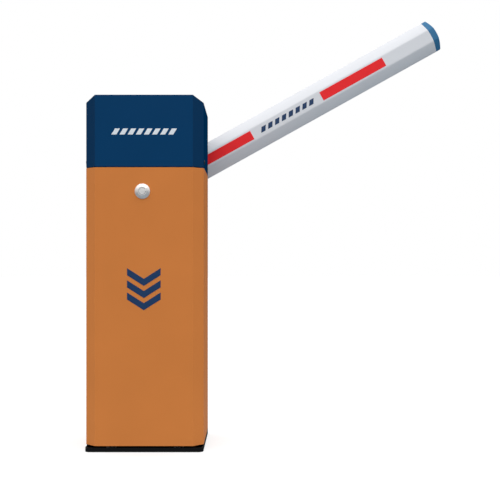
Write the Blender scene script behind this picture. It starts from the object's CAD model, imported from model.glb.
"""Looks for the parking barrier gate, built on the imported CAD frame."""

import math

import bpy
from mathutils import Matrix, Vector


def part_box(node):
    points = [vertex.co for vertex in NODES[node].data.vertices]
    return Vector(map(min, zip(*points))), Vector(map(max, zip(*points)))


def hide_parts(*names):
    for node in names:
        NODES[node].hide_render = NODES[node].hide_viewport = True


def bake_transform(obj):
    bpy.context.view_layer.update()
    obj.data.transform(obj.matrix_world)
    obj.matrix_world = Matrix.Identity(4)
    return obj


MM = 0.001


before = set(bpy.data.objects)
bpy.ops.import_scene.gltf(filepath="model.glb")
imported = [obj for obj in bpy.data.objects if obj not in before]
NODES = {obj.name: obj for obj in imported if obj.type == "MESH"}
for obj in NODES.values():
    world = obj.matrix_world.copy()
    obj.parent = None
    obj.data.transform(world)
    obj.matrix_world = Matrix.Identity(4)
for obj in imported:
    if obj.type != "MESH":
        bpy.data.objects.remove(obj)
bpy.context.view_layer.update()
scene = bpy.context.scene


# ---------- materials ----------

def linear(rgb):
    """sRGB 0-255 to the linear values that a shader takes."""
    out = []
    for c in rgb:
        c = c / 255.0
        out.append(c / 12.92 if c <= 0.04045 else ((c + 0.055) / 1.055) ** 2.4)
    return out


class Mat:
    """A Principled material, with helpers that add procedural detail to it.

    Sizes and heights are in millimetres, and colours are sRGB 0-255. Every helper that adds
    detail returns the material, so that calls can follow each other.
    """

    NOISE = (0.3, 0.7)            # nearly all values of a noise lie between these
    WORN_WHERE = (0.42, 0.62)     # wear comes in over this part of a noise
    WORN_LEAST = 0.25             # the share of wear that an edge keeps between the patches
    DARK_TURN = (0.06, 0.30)      # how far a face is turned away where its colour darkens
    DULL_TURN = (0.2, 0.8)        # ... and where its shine goes

    def __init__(self, name, colour, rough=0.5, metal=0.0, spec=0.5):
        self.m = bpy.data.materials.new(name)
        self.m.use_nodes = True
        self.nt = self.m.node_tree
        self.shader = next(n for n in self.nt.nodes if n.type == "BSDF_PRINCIPLED")
        start = (*linear(colour), 1)
        self.socket("Base Color").default_value = start
        self.socket("Roughness").default_value = rough
        self.socket("Metallic").default_value = metal
        self.socket("Specular IOR Level").default_value = spec
        self.m.diffuse_color = start
        self.colour = start      # the colour so far: a value, or the socket that makes it
        self.rough = rough       # the roughness so far, likewise
        self.normal = None       # the normal so far
        self.coords = self.node("ShaderNodeTexCoord").outputs["Object"]

    def socket(self, name):
        return self.shader.inputs[name]

    def node(self, kind, **values):
        n = self.nt.nodes.new(kind)
        for k, v in values.items():
            setattr(n, k, v)
        return n

    def link(self, value, socket):
        """Links a socket, or sets a plain value."""
        if isinstance(value, bpy.types.NodeSocket):
            self.nt.links.new(value, socket)
        else:
            socket.default_value = value

    def noise(self, size, detail):
        n = self.node("ShaderNodeTexNoise")
        n.inputs["Scale"].default_value = 1.0 / (size * MM)
        n.inputs["Detail"].default_value = detail
        self.link(self.coords, n.inputs["Vector"])
        return n.outputs["Fac"]

    def cells(self, size):
        """Distance to the nearest of scattered points: round pits, size apart."""
        n = self.node("ShaderNodeTexVoronoi", feature="SMOOTH_F1")
        n.inputs["Scale"].default_value = 1.0 / (size * MM)
        self.link(self.coords, n.inputs["Vector"])
        return n.outputs["Distance"]

    def span(self, fac, a, b, low, high):
        """Maps a..b to low..high, and holds it there outside."""
        r = self.node("ShaderNodeMapRange")
        for key, v in (("From Min", a), ("From Max", b), ("To Min", low), ("To Max", high)):
            r.inputs[key].default_value = v
        self.link(fac, r.inputs["Value"])
        return r.outputs["Result"]

    def math(self, how, x, y):
        n = self.node("ShaderNodeMath", operation=how)
        self.link(x, n.inputs[0])
        self.link(y, n.inputs[1])
        return n.outputs[0]

    def edges(self, width, gain=3.0):
        """1 along sharp edges, 0 on open faces, for an edge width in millimetres."""
        soft = self.node("ShaderNodeBevel", samples=4)
        soft.inputs["Radius"].default_value = width * MM
        shape = self.node("ShaderNodeNewGeometry")
        dot = self.node("ShaderNodeVectorMath", operation="DOT_PRODUCT")
        self.link(soft.outputs["Normal"], dot.inputs[0])
        self.link(shape.outputs["Normal"], dot.inputs[1])
        return self.span(dot.outputs["Value"], 1.0, 1.0 - 1.0 / gain, 0.0, 1.0)

    def set_colour(self, socket):
        self.colour = socket
        self.link(socket, self.socket("Base Color"))

    def set_rough(self, socket):
        self.rough = socket
        self.link(socket, self.socket("Roughness"))

    def scaled(self, fac):
        """Multiplies the colour so far by fac."""
        mix = self.node("ShaderNodeVectorMath", operation="SCALE")
        self.link(self.colour[:3] if isinstance(self.colour, tuple) else self.colour, mix.inputs[0])
        self.link(fac, mix.inputs["Scale"])
        self.set_colour(mix.outputs["Vector"])

    def tint(self, fac, colour):
        """Lays a colour over what is there, by fac."""
        mix = self.node("ShaderNodeMix", data_type="RGBA")
        under, over = (s for s in mix.inputs if s.type == "RGBA")
        self.link(fac, mix.inputs["Factor"])
        self.link(self.colour, under)
        over.default_value = (*linear(colour), 1)
        self.set_colour(next(s for s in mix.outputs if s.type == "RGBA"))

    def tone(self, size, low, high, detail):
        """Makes patches darker and lighter, by low to high."""
        self.scaled(self.span(self.noise(size, detail), *self.NOISE, low, high))
        return self

    def gloss(self, size, spread, detail):
        """Varies the roughness up and down by spread."""
        fac = self.span(self.noise(size, detail), *self.NOISE, -spread, spread)
        self.set_rough(self.math("ADD", self.rough, fac))
        return self

    def turned_away(self, dark, shine):
        """Darkens and dulls the faces that are turned from the viewer, as flake paint does.

        dark is what the colour is multiplied by, and shine a pair of specular levels.
        """
        facing = self.node("ShaderNodeLayerWeight").outputs["Facing"]
        self.scaled(self.span(facing, *self.DARK_TURN, 1.0, dark))
        self.link(self.span(facing, *self.DULL_TURN, *shine), self.socket("Specular IOR Level"))
        return self

    def bump(self, fac, height):
        """Raises the surface by fac times a height in millimetres."""
        n = self.node("ShaderNodeBump")
        n.inputs["Strength"].default_value = 1.0
        n.inputs["Distance"].default_value = height * MM
        self.link(fac, n.inputs["Height"])
        if self.normal is not None:
            self.link(self.normal, n.inputs["Normal"])
        self.normal = n.outputs["Normal"]
        self.link(self.normal, self.socket("Normal"))
        return self

    def grain(self, size, height, detail):
        return self.bump(self.noise(size, detail), height)

    def worn(self, width, colour, amount, patch=9.0, rough=0.12):
        """Wear along the edges, broken up into patches."""
        broken = self.span(self.noise(patch, 6.0), *self.WORN_WHERE, self.WORN_LEAST, 1.0)
        mask = self.math("MULTIPLY", self.edges(width), broken)
        self.tint(self.math("MULTIPLY", mask, amount), colour)
        self.set_rough(self.math("ADD", self.rough, self.math("MULTIPLY", mask, rough)))
        return self


def powder_coat(name, colour, edge, rough=0.56, spec=0.12):
    """Powder coat: orange peel over a fine grain, cloudy tone, and thin paint on the folds."""
    m = Mat(name, colour, rough, spec=spec)
    m.tone(160, 0.975, 1.025, 2)
    m.worn(1.6, edge, 0.35)
    m.gloss(45, 0.03, 4)
    m.grain(3.2, 0.022, 1)
    m.grain(0.7, 0.006, 2)
    return m


def flake_coat(name, colour, edge):
    """Powder coat that looks darker and duller at a slant."""
    return powder_coat(name, colour, edge, 0.55, 0.07).turned_away(dark=0.72, shine=(0.07, 0.0))


def smooth_coat(name, colour):
    """Smooth, slightly glossy paint on an extruded profile."""
    m = Mat(name, colour, 0.34, spec=0.35)
    m.tone(120, 0.985, 1.01, 2)
    m.gloss(60, 0.04, 4)
    m.grain(2.6, 0.01, 1)
    return m


def plated(name, colour, rough, patch):
    """Zinc plate or bare steel: cloudy tone, fine scratches and bright edges."""
    m = Mat(name, colour, rough, metal=1.0)
    m.tone(patch, 0.84, 1.04, 4)
    m.worn(0.8, (214, 216, 220), 0.5)
    m.gloss(patch * 0.6, 0.07, 4)
    m.grain(1.4, 0.012, 3)
    return m


def chromed(name, colour, rough):
    """Polished chrome, with faint smears."""
    m = Mat(name, colour, rough, metal=1.0)
    m.tone(8, 0.95, 1.0, 4)
    m.gloss(3, 0.05, 5)
    m.grain(1.1, 0.002, 3)
    return m


def satin_chromed(name, colour, rough):
    """Brushed, pale chrome with brighter edges."""
    m = Mat(name, colour, rough, metal=0.55)
    m.tone(8, 0.94, 1.0, 4)
    m.gloss(3, 0.06, 5)
    m.worn(0.5, (250, 250, 250), 0.5, 3)
    m.grain(1.0, 0.004, 3)
    return m


def casting(name, colour, rough, metal, grit):
    """Sand or die casting: pitted skin, uneven tone, and rubbed edges."""
    m = Mat(name, colour, rough, metal=metal, spec=0.35)
    m.tone(22, 0.86, 1.08, 5)
    m.worn(1.4, (168, 170, 174), 0.45, 6)
    m.gloss(9, 0.08, 4)
    m.grain(grit, 0.16, 4)
    m.bump(m.cells(grit * 2.2), 0.08)
    return m


def moulded(name, colour, rough=0.48, spec=0.4, grit=0.9):
    """Moulded plastic with a fine spark texture."""
    m = Mat(name, colour, rough, spec=spec)
    m.tone(30, 0.96, 1.03, 3)
    m.worn(0.9, tuple(min(255, int(c * 1.25) + 12) for c in colour), 0.4)
    m.gloss(14, 0.05, 3)
    m.grain(grit, 0.03, 3)
    return m


def film(name, colour, rough=0.32, spec=0.35):
    """Printed vinyl, laid on the paint."""
    m = Mat(name, colour, rough, spec=spec)
    m.tone(26, 0.96, 1.03, 2)
    m.gloss(12, 0.05, 3)
    m.grain(5.0, 0.02, 2)
    return m


STEEL = plated("machined_steel", (166, 168, 172), 0.28, 7)

# Each material with the nodes that carry it
LOOK = [
    (powder_coat("orange_paint", (222, 133, 66), (238, 170, 118)),
     ["body_shell", "door_panel"]),
    (flake_coat("navy_paint", (0, 60, 103), (52, 98, 136)),
     ["hood"]),
    (powder_coat("black_paint", (13, 14, 15), (60, 61, 62), 0.6),
     ["plinth", "motor_body"]),
    (smooth_coat("white_paint", (234, 235, 239)),
     ["boom_tube"]),
    (moulded("cap_plastic", (58, 121, 166), 0.40, 0.25),
     ["boom_caps"]),
    (film("red_film", (255, 46, 50), 0.36, 0.14),
     ["boom_stripes"]),
    (film("navy_film", (22, 58, 100)),
     ["front_emblem", "boom_marking"]),
    (film("white_film", (238, 242, 247), 0.4),
     ["hood_marking"]),
    (plated("zinc_plate", (184, 188, 192), 0.34, 18),
     ["door_rail", "mounting_plate", "lock_nut", "lock_cam", "spring_yoke", "spring_anchor",
      "buffer_posts", "connecting_rod"]),
    (STEEL,
     ["hinge_brackets", "lock_cylinder", "plate_bolts", "bearing_outer_rings", "main_shaft",
      "shaft_end_bolt", "holder_bolts", "drive_bolts", "output_shaft", "idler_gear", "motor_shaft",
      "rod_ends", "balance_spring"]),
    (plated("blackened_steel", (46, 49, 54), 0.42, 6),
     ["hood_screws"]),
    (chromed("chrome", (232, 232, 234), 0.14),
     ["bearing_inner_rings", "lever_pins", "crank_pin", "idler_pin"]),
    (satin_chromed("satin_chrome", (246, 243, 240), 0.36),
     ["lock_escutcheon", "lock_cover"]),
    (casting("grey_casting", (98, 104, 112), 0.55, 0.0, 1.6),
     ["bearing_housing", "lever_arm", "crank_arm", "holder_hub"]),
    (casting("die_cast", (176, 178, 182), 0.46, 0.65, 1.1),
     ["gearbox_housing", "gearbox_cover", "holder_front_shell", "holder_back_shell"]),
    (plated("brass", (204, 164, 92), 0.3, 10),
     ["output_gear"]),
    (moulded("rubber", (28, 28, 29), 0.76, 0.25, 1.2),
     ["door_seal", "shaft_seal", "rubber_buffers"]),
    (moulded("grey_plastic", (182, 186, 190), 0.5),
     ["controller_box", "controller_lid", "motor_end_cap", "terminal_rail"]),
    (moulded("dark_plastic", (32, 33, 35), 0.45),
     ["limit_switches", "breaker_toggle"]),
    (moulded("green_button", (26, 140, 70), 0.3, 0.5, 2.0),
     ["button_open"]),
    (moulded("red_button", (204, 36, 32), 0.3, 0.5, 2.0),
     ["button_stop"]),
    (moulded("blue_button", (30, 78, 164), 0.3, 0.5, 2.0),
     ["button_close"]),
]
for material, names in LOOK:
    for name in names:
        mesh = NODES[name].data
        mesh.materials.clear()
        mesh.materials.append(material.m)


# ---------- rounded edges on the CAD nodes ----------

# Radius of each node's edges in millimetres; 0 leaves them sharp
EDGE = {
    "hood": 2.2, "door_panel": 1.6, "body_shell": 1.6, "plinth": 1.0, "boom_tube": 1.2,
    "boom_caps": 1.6, "boom_stripes": 0.12, "front_emblem": 0.12, "hood_marking": 0.12,
    "boom_marking": 0.12, "balance_spring": 0, "lock_cover": 0, "connecting_rod": 0.15,
    "output_gear": 0.3, "idler_gear": 0.3, "motor_shaft": 0.4, "mounting_plate": 0.6, "door_rail": 0.6,
    "holder_front_shell": 1.2, "holder_back_shell": 1.2, "gearbox_housing": 1.6, "gearbox_cover": 1.0,
    "lever_arm": 1.2, "crank_arm": 1.2, "bearing_housing": 1.2, "controller_box": 1.6,
    "controller_lid": 1.6, "terminal_rail": 0.8, "door_seal": 0.8, "lock_escutcheon": 0.5,
}
EDGE_OTHER = 0.5
WIDE_EDGE = 1.5                     # from this radius on, an edge gets one segment more
WELD_GAP = 0.01 * MM
FLAT_ANGLE = math.radians(0.6)
EDGE_ANGLE = math.radians(32)


def soften(o, radius):
    """Merges the mesh's split corners and flat faces and rounds its edges, with modifiers only."""
    weld = o.modifiers.new("weld", "WELD")
    weld.merge_threshold = WELD_GAP
    if radius:
        flat = o.modifiers.new("flat", "DECIMATE")
        flat.decimate_type = "DISSOLVE"
        flat.angle_limit = FLAT_ANGLE
        bev = o.modifiers.new("round", "BEVEL")
        bev.width = radius * MM
        bev.segments = 3 if radius >= WIDE_EDGE else 2
        bev.limit_method = "ANGLE"
        bev.angle_limit = EDGE_ANGLE
        bev.use_clamp_overlap = True
        bev.miter_outer = "MITER_ARC"
        level = o.modifiers.new("level", "WEIGHTED_NORMAL")
        level.weight = 100
        level.thresh = 0.01
    else:
        sharp = o.modifiers.new("sharp", "EDGE_SPLIT")
        sharp.split_angle = EDGE_ANGLE
    o.data.polygons.foreach_set("use_smooth", [True] * len(o.data.polygons))


for name, o in NODES.items():
    soften(o, EDGE.get(name, EDGE_OTHER))


# ---------- pieces made in mesh code ----------

def mesh_object(name, verts, faces, material):
    me = bpy.data.meshes.new(name)
    me.from_pydata(verts, [], faces)
    me.materials.append(material)
    o = bpy.data.objects.new(name, me)
    scene.collection.objects.link(o)
    return o


def wire_mesh(name, path, radius, material, sides=8):
    """A round wire along a list of points, closed at both ends."""
    pts = [Vector(p) for p in path]
    last = len(pts) - 1
    verts, faces = [], []
    normal = None
    for i, p in enumerate(pts):
        d = (pts[min(i + 1, last)] - pts[max(i - 1, 0)]).normalized()
        if normal is None:
            normal = d.orthogonal().normalized()
        normal = (normal - d * normal.dot(d)).normalized()
        side = d.cross(normal)
        for k in range(sides):
            a = 2 * math.pi * k / sides
            verts.append(p + (normal * math.cos(a) + side * math.sin(a)) * radius)
    for i in range(last):
        for k in range(sides):
            j = (k + 1) % sides
            faces.append((i * sides + k, i * sides + j, (i + 1) * sides + j, (i + 1) * sides + k))
    faces.append(tuple(reversed(range(sides))))
    faces.append(tuple(last * sides + k for k in range(sides)))
    wire = mesh_object(name, verts, faces, material)
    wire.data.polygons.foreach_set("use_smooth", [True] * len(faces))
    return wire


def balance_coil():
    """The balance spring as a real coil, with a loop at each end and a neck that leads into it."""
    (x0, y0, z0), (x1, y1, z1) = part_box("balance_spring")
    cx, cy = (x0 + x1) / 2, (y0 + y1) / 2
    wire = 2.25 * MM                         # radius of the wire, as in the CAD
    open_share = 1.30                        # pitch of the coil over the thickness of its wire
    pitch = 2 * wire * open_share
    coil_r = (x1 - x0) / 2 - wire
    loop_r = 12 * MM
    loop_from, loop_to = -75, 255            # degrees: how far a loop reaches round the pin
    neck = 8 * MM
    per_turn, loop_steps, neck_steps = 20, 34, 6
    top_z = z1 - wire - loop_r               # middles of the end loops
    low_z = z0 + wire + loop_r
    coil_top = top_z - loop_r - neck
    coil_low = low_z + loop_r + neck
    coil_steps = round((coil_top - coil_low) / pitch) * per_turn

    def loop(z, first, last):
        out = []
        for i in range(loop_steps):
            a = math.radians(first + (last - first) * i / (loop_steps - 1))
            out.append((cx, cy + loop_r * math.cos(a), z + loop_r * math.sin(a)))
        return out

    low_loop = loop(low_z, -loop_to, -loop_from)
    top_loop = loop(top_z, loop_from, loop_to)
    path = list(low_loop)
    _, start_y, start_z = low_loop[-1]
    for i in range(1, neck_steps):
        t = i / neck_steps
        path.append((cx + coil_r * t * t,
                     cy + (start_y - cy) * (1 - t),
                     start_z + (coil_low - start_z) * t))
    for i in range(coil_steps + 1):
        a = 2 * math.pi * i / per_turn
        z = coil_low + (coil_top - coil_low) * i / coil_steps
        path.append((cx + coil_r * math.cos(a), cy + coil_r * math.sin(a), z))
    _, end_y, end_z = top_loop[0]
    for i in range(1, neck_steps):
        t = i / neck_steps
        path.append((cx + coil_r * (1 - t) ** 2,
                     cy + (end_y - cy) * t,
                     coil_top + (end_z - coil_top) * t))
    path += top_loop
    spring = wire_mesh("balance_coil", path, wire, STEEL.m)
    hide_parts("balance_spring")
    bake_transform(spring)


balance_coil()


# ---------- camera, light and ground ----------

def camera(place, lens, shift_y):
    """A level camera that looks along +Y."""
    data = bpy.data.cameras.new("camera")
    data.sensor_width = 36
    data.lens = lens
    data.shift_y = shift_y
    o = bpy.data.objects.new("camera", data)
    o.location = place
    o.rotation_euler = (math.radians(90), 0, 0)
    scene.collection.objects.link(o)
    scene.camera = o


def area(name, place, aim, size, power):
    """A rectangular light at place, turned towards aim."""
    light = bpy.data.lights.new(name, "AREA")
    light.shape = "RECTANGLE"
    light.size, light.size_y = size
    light.energy = power
    o = bpy.data.objects.new(name, light)
    scene.collection.objects.link(o)
    o.location = place
    o.rotation_euler = (Vector(aim) - Vector(place)).to_track_quat("-Z", "Y").to_euler()


def levels(nt, socket, stops):
    """Light levels at places from -1 to 1 along a socket, joined smoothly.

    The first two stops are the ends, and the rest lie between them.
    """
    lift = nt.nodes.new("ShaderNodeMapRange")
    lift.inputs["From Min"].default_value = -1
    node = nt.nodes.new("ShaderNodeValToRGB")
    ramp = node.color_ramp
    ramp.interpolation = "EASE"
    for i, (place, level) in enumerate(stops):
        stop = ramp.elements[i] if i < 2 else ramp.elements.new(1)
        stop.position = (place + 1) / 2
        stop.color = (level, level, level, 1)
    nt.links.new(socket, lift.inputs["Value"])
    nt.links.new(lift.outputs["Result"], node.inputs["Fac"])
    return node.outputs["Color"]


def fade(nt, socket, start, end):
    """1 before start, falling smoothly to 0 at end."""
    node = nt.nodes.new("ShaderNodeMapRange")
    node.interpolation_type = "SMOOTHSTEP"
    node.inputs["From Min"].default_value = end
    node.inputs["From Max"].default_value = start
    nt.links.new(socket, node.inputs["Value"])
    return node.outputs["Result"]


def sums(nt, how, x, y=0.0):
    """One step of arithmetic on sockets or plain values."""
    node = nt.nodes.new("ShaderNodeMath")
    node.operation = how
    for value, socket in zip((x, y), node.inputs):
        if isinstance(value, bpy.types.NodeSocket):
            nt.links.new(value, socket)
        else:
            socket.default_value = value
    return node.outputs[0]


def studio(by_height, flag_dark, flag_height, flag_depth):
    """White behind the object, and around it a soft room lit by height.

    A dark flag stands low behind the object, so that faces seen edge-on keep their colour. It is
    darkest up to the first flag_height and from the last flag_depth on, and gone at the others.
    """
    world = bpy.data.worlds.new("world")
    scene.world = world
    world.use_nodes = True
    nt = world.node_tree
    back = next(n for n in nt.nodes if n.type == "BACKGROUND")
    where = nt.nodes.new("ShaderNodeTexCoord")
    split = nt.nodes.new("ShaderNodeSeparateXYZ")
    nt.links.new(where.outputs["Generated"], split.inputs[0])
    room = levels(nt, split.outputs["Z"], by_height)
    low = fade(nt, sums(nt, "ABSOLUTE", split.outputs["Z"]), *flag_height)
    behind = sums(nt, "SUBTRACT", 1.0, fade(nt, split.outputs["Y"], *flag_depth))
    flag = sums(nt, "MULTIPLY", sums(nt, "MULTIPLY", low, behind), flag_dark)
    lit = sums(nt, "MULTIPLY", room, sums(nt, "SUBTRACT", 1.0, flag))
    path = nt.nodes.new("ShaderNodeLightPath")
    seen = nt.nodes.new("ShaderNodeMix")
    seen.data_type = "RGBA"
    around, behind_object = (s for s in seen.inputs if s.type == "RGBA")
    behind_object.default_value = (1, 1, 1, 1)
    nt.links.new(lit, around)
    nt.links.new(path.outputs["Is Camera Ray"], seen.inputs["Factor"])
    nt.links.new(next(s for s in seen.outputs if s.type == "RGBA"), back.inputs["Color"])
    back.inputs["Strength"].default_value = 1.0


def floor_material(glow_share, near, far, cool):
    """White to the camera; to all other rays a dim, cool floor that is brighter near the object.

    near and far are pairs of a distance from the origin and the floor's lightness there.
    """
    m = bpy.data.materials.new("floor")
    m.use_nodes = True
    nt = m.node_tree
    out = next(n for n in nt.nodes if n.type == "OUTPUT_MATERIAL")
    shaded = nt.nodes.new("ShaderNodeBsdfDiffuse")
    shaded.inputs["Color"].default_value = (0.95, 0.95, 0.95, 1)
    glow = nt.nodes.new("ShaderNodeEmission")
    seen = nt.nodes.new("ShaderNodeMixShader")
    seen.inputs["Fac"].default_value = glow_share
    nt.links.new(shaded.outputs[0], seen.inputs[1])
    nt.links.new(glow.outputs[0], seen.inputs[2])
    where = nt.nodes.new("ShaderNodeTexCoord")
    away = nt.nodes.new("ShaderNodeVectorMath")
    away.operation = "LENGTH"
    spread = nt.nodes.new("ShaderNodeMapRange")
    for key, value in zip(("From Min", "To Min", "From Max", "To Max"), (*near, *far)):
        spread.inputs[key].default_value = value
    tinted = nt.nodes.new("ShaderNodeVectorMath")
    tinted.operation = "SCALE"
    tinted.inputs[0].default_value = cool
    unseen = nt.nodes.new("ShaderNodeBsdfDiffuse")
    nt.links.new(where.outputs["Object"], away.inputs[0])
    nt.links.new(away.outputs["Value"], spread.inputs["Value"])
    nt.links.new(spread.outputs["Result"], tinted.inputs["Scale"])
    nt.links.new(tinted.outputs["Vector"], unseen.inputs["Color"])
    path = nt.nodes.new("ShaderNodeLightPath")
    pick = nt.nodes.new("ShaderNodeMixShader")
    nt.links.new(path.outputs["Is Camera Ray"], pick.inputs["Fac"])
    nt.links.new(unseen.outputs[0], pick.inputs[1])
    nt.links.new(seen.outputs[0], pick.inputs[2])
    nt.links.new(pick.outputs[0], out.inputs["Surface"])
    return m


def floor(half, material):
    """A flat square floor, just under the object."""
    z = -0.5 * MM
    corners = [(-half, -half, z), (half, -half, z), (half, half, z), (-half, half, z)]
    o = mesh_object("floor", corners, [(0, 1, 2, 3)], material)


camera(place=(0.297, -2.85, 0.532), lens=69.5, shift_y=0.024)
studio(by_height=[(-1.0, 0.1), (1.0, 2.0), (-0.1, 0.34), (0.12, 0.60), (0.5, 0.98)],
       flag_dark=0.93, flag_height=(0.20, 0.42), flag_depth=(0.66, 0.84))
floor(30, floor_material(glow_share=0.6, near=(0.3, 0.26), far=(1.6, 0.11), cool=(0.72, 1.0, 1.22)))
area("key", place=(0.2, -3.2, 2.6), aim=(0.1, 0, 0.6), size=(1.6, 1.2), power=16)

scene.view_settings.view_transform = "Standard"
scene.view_settings.look = "None"
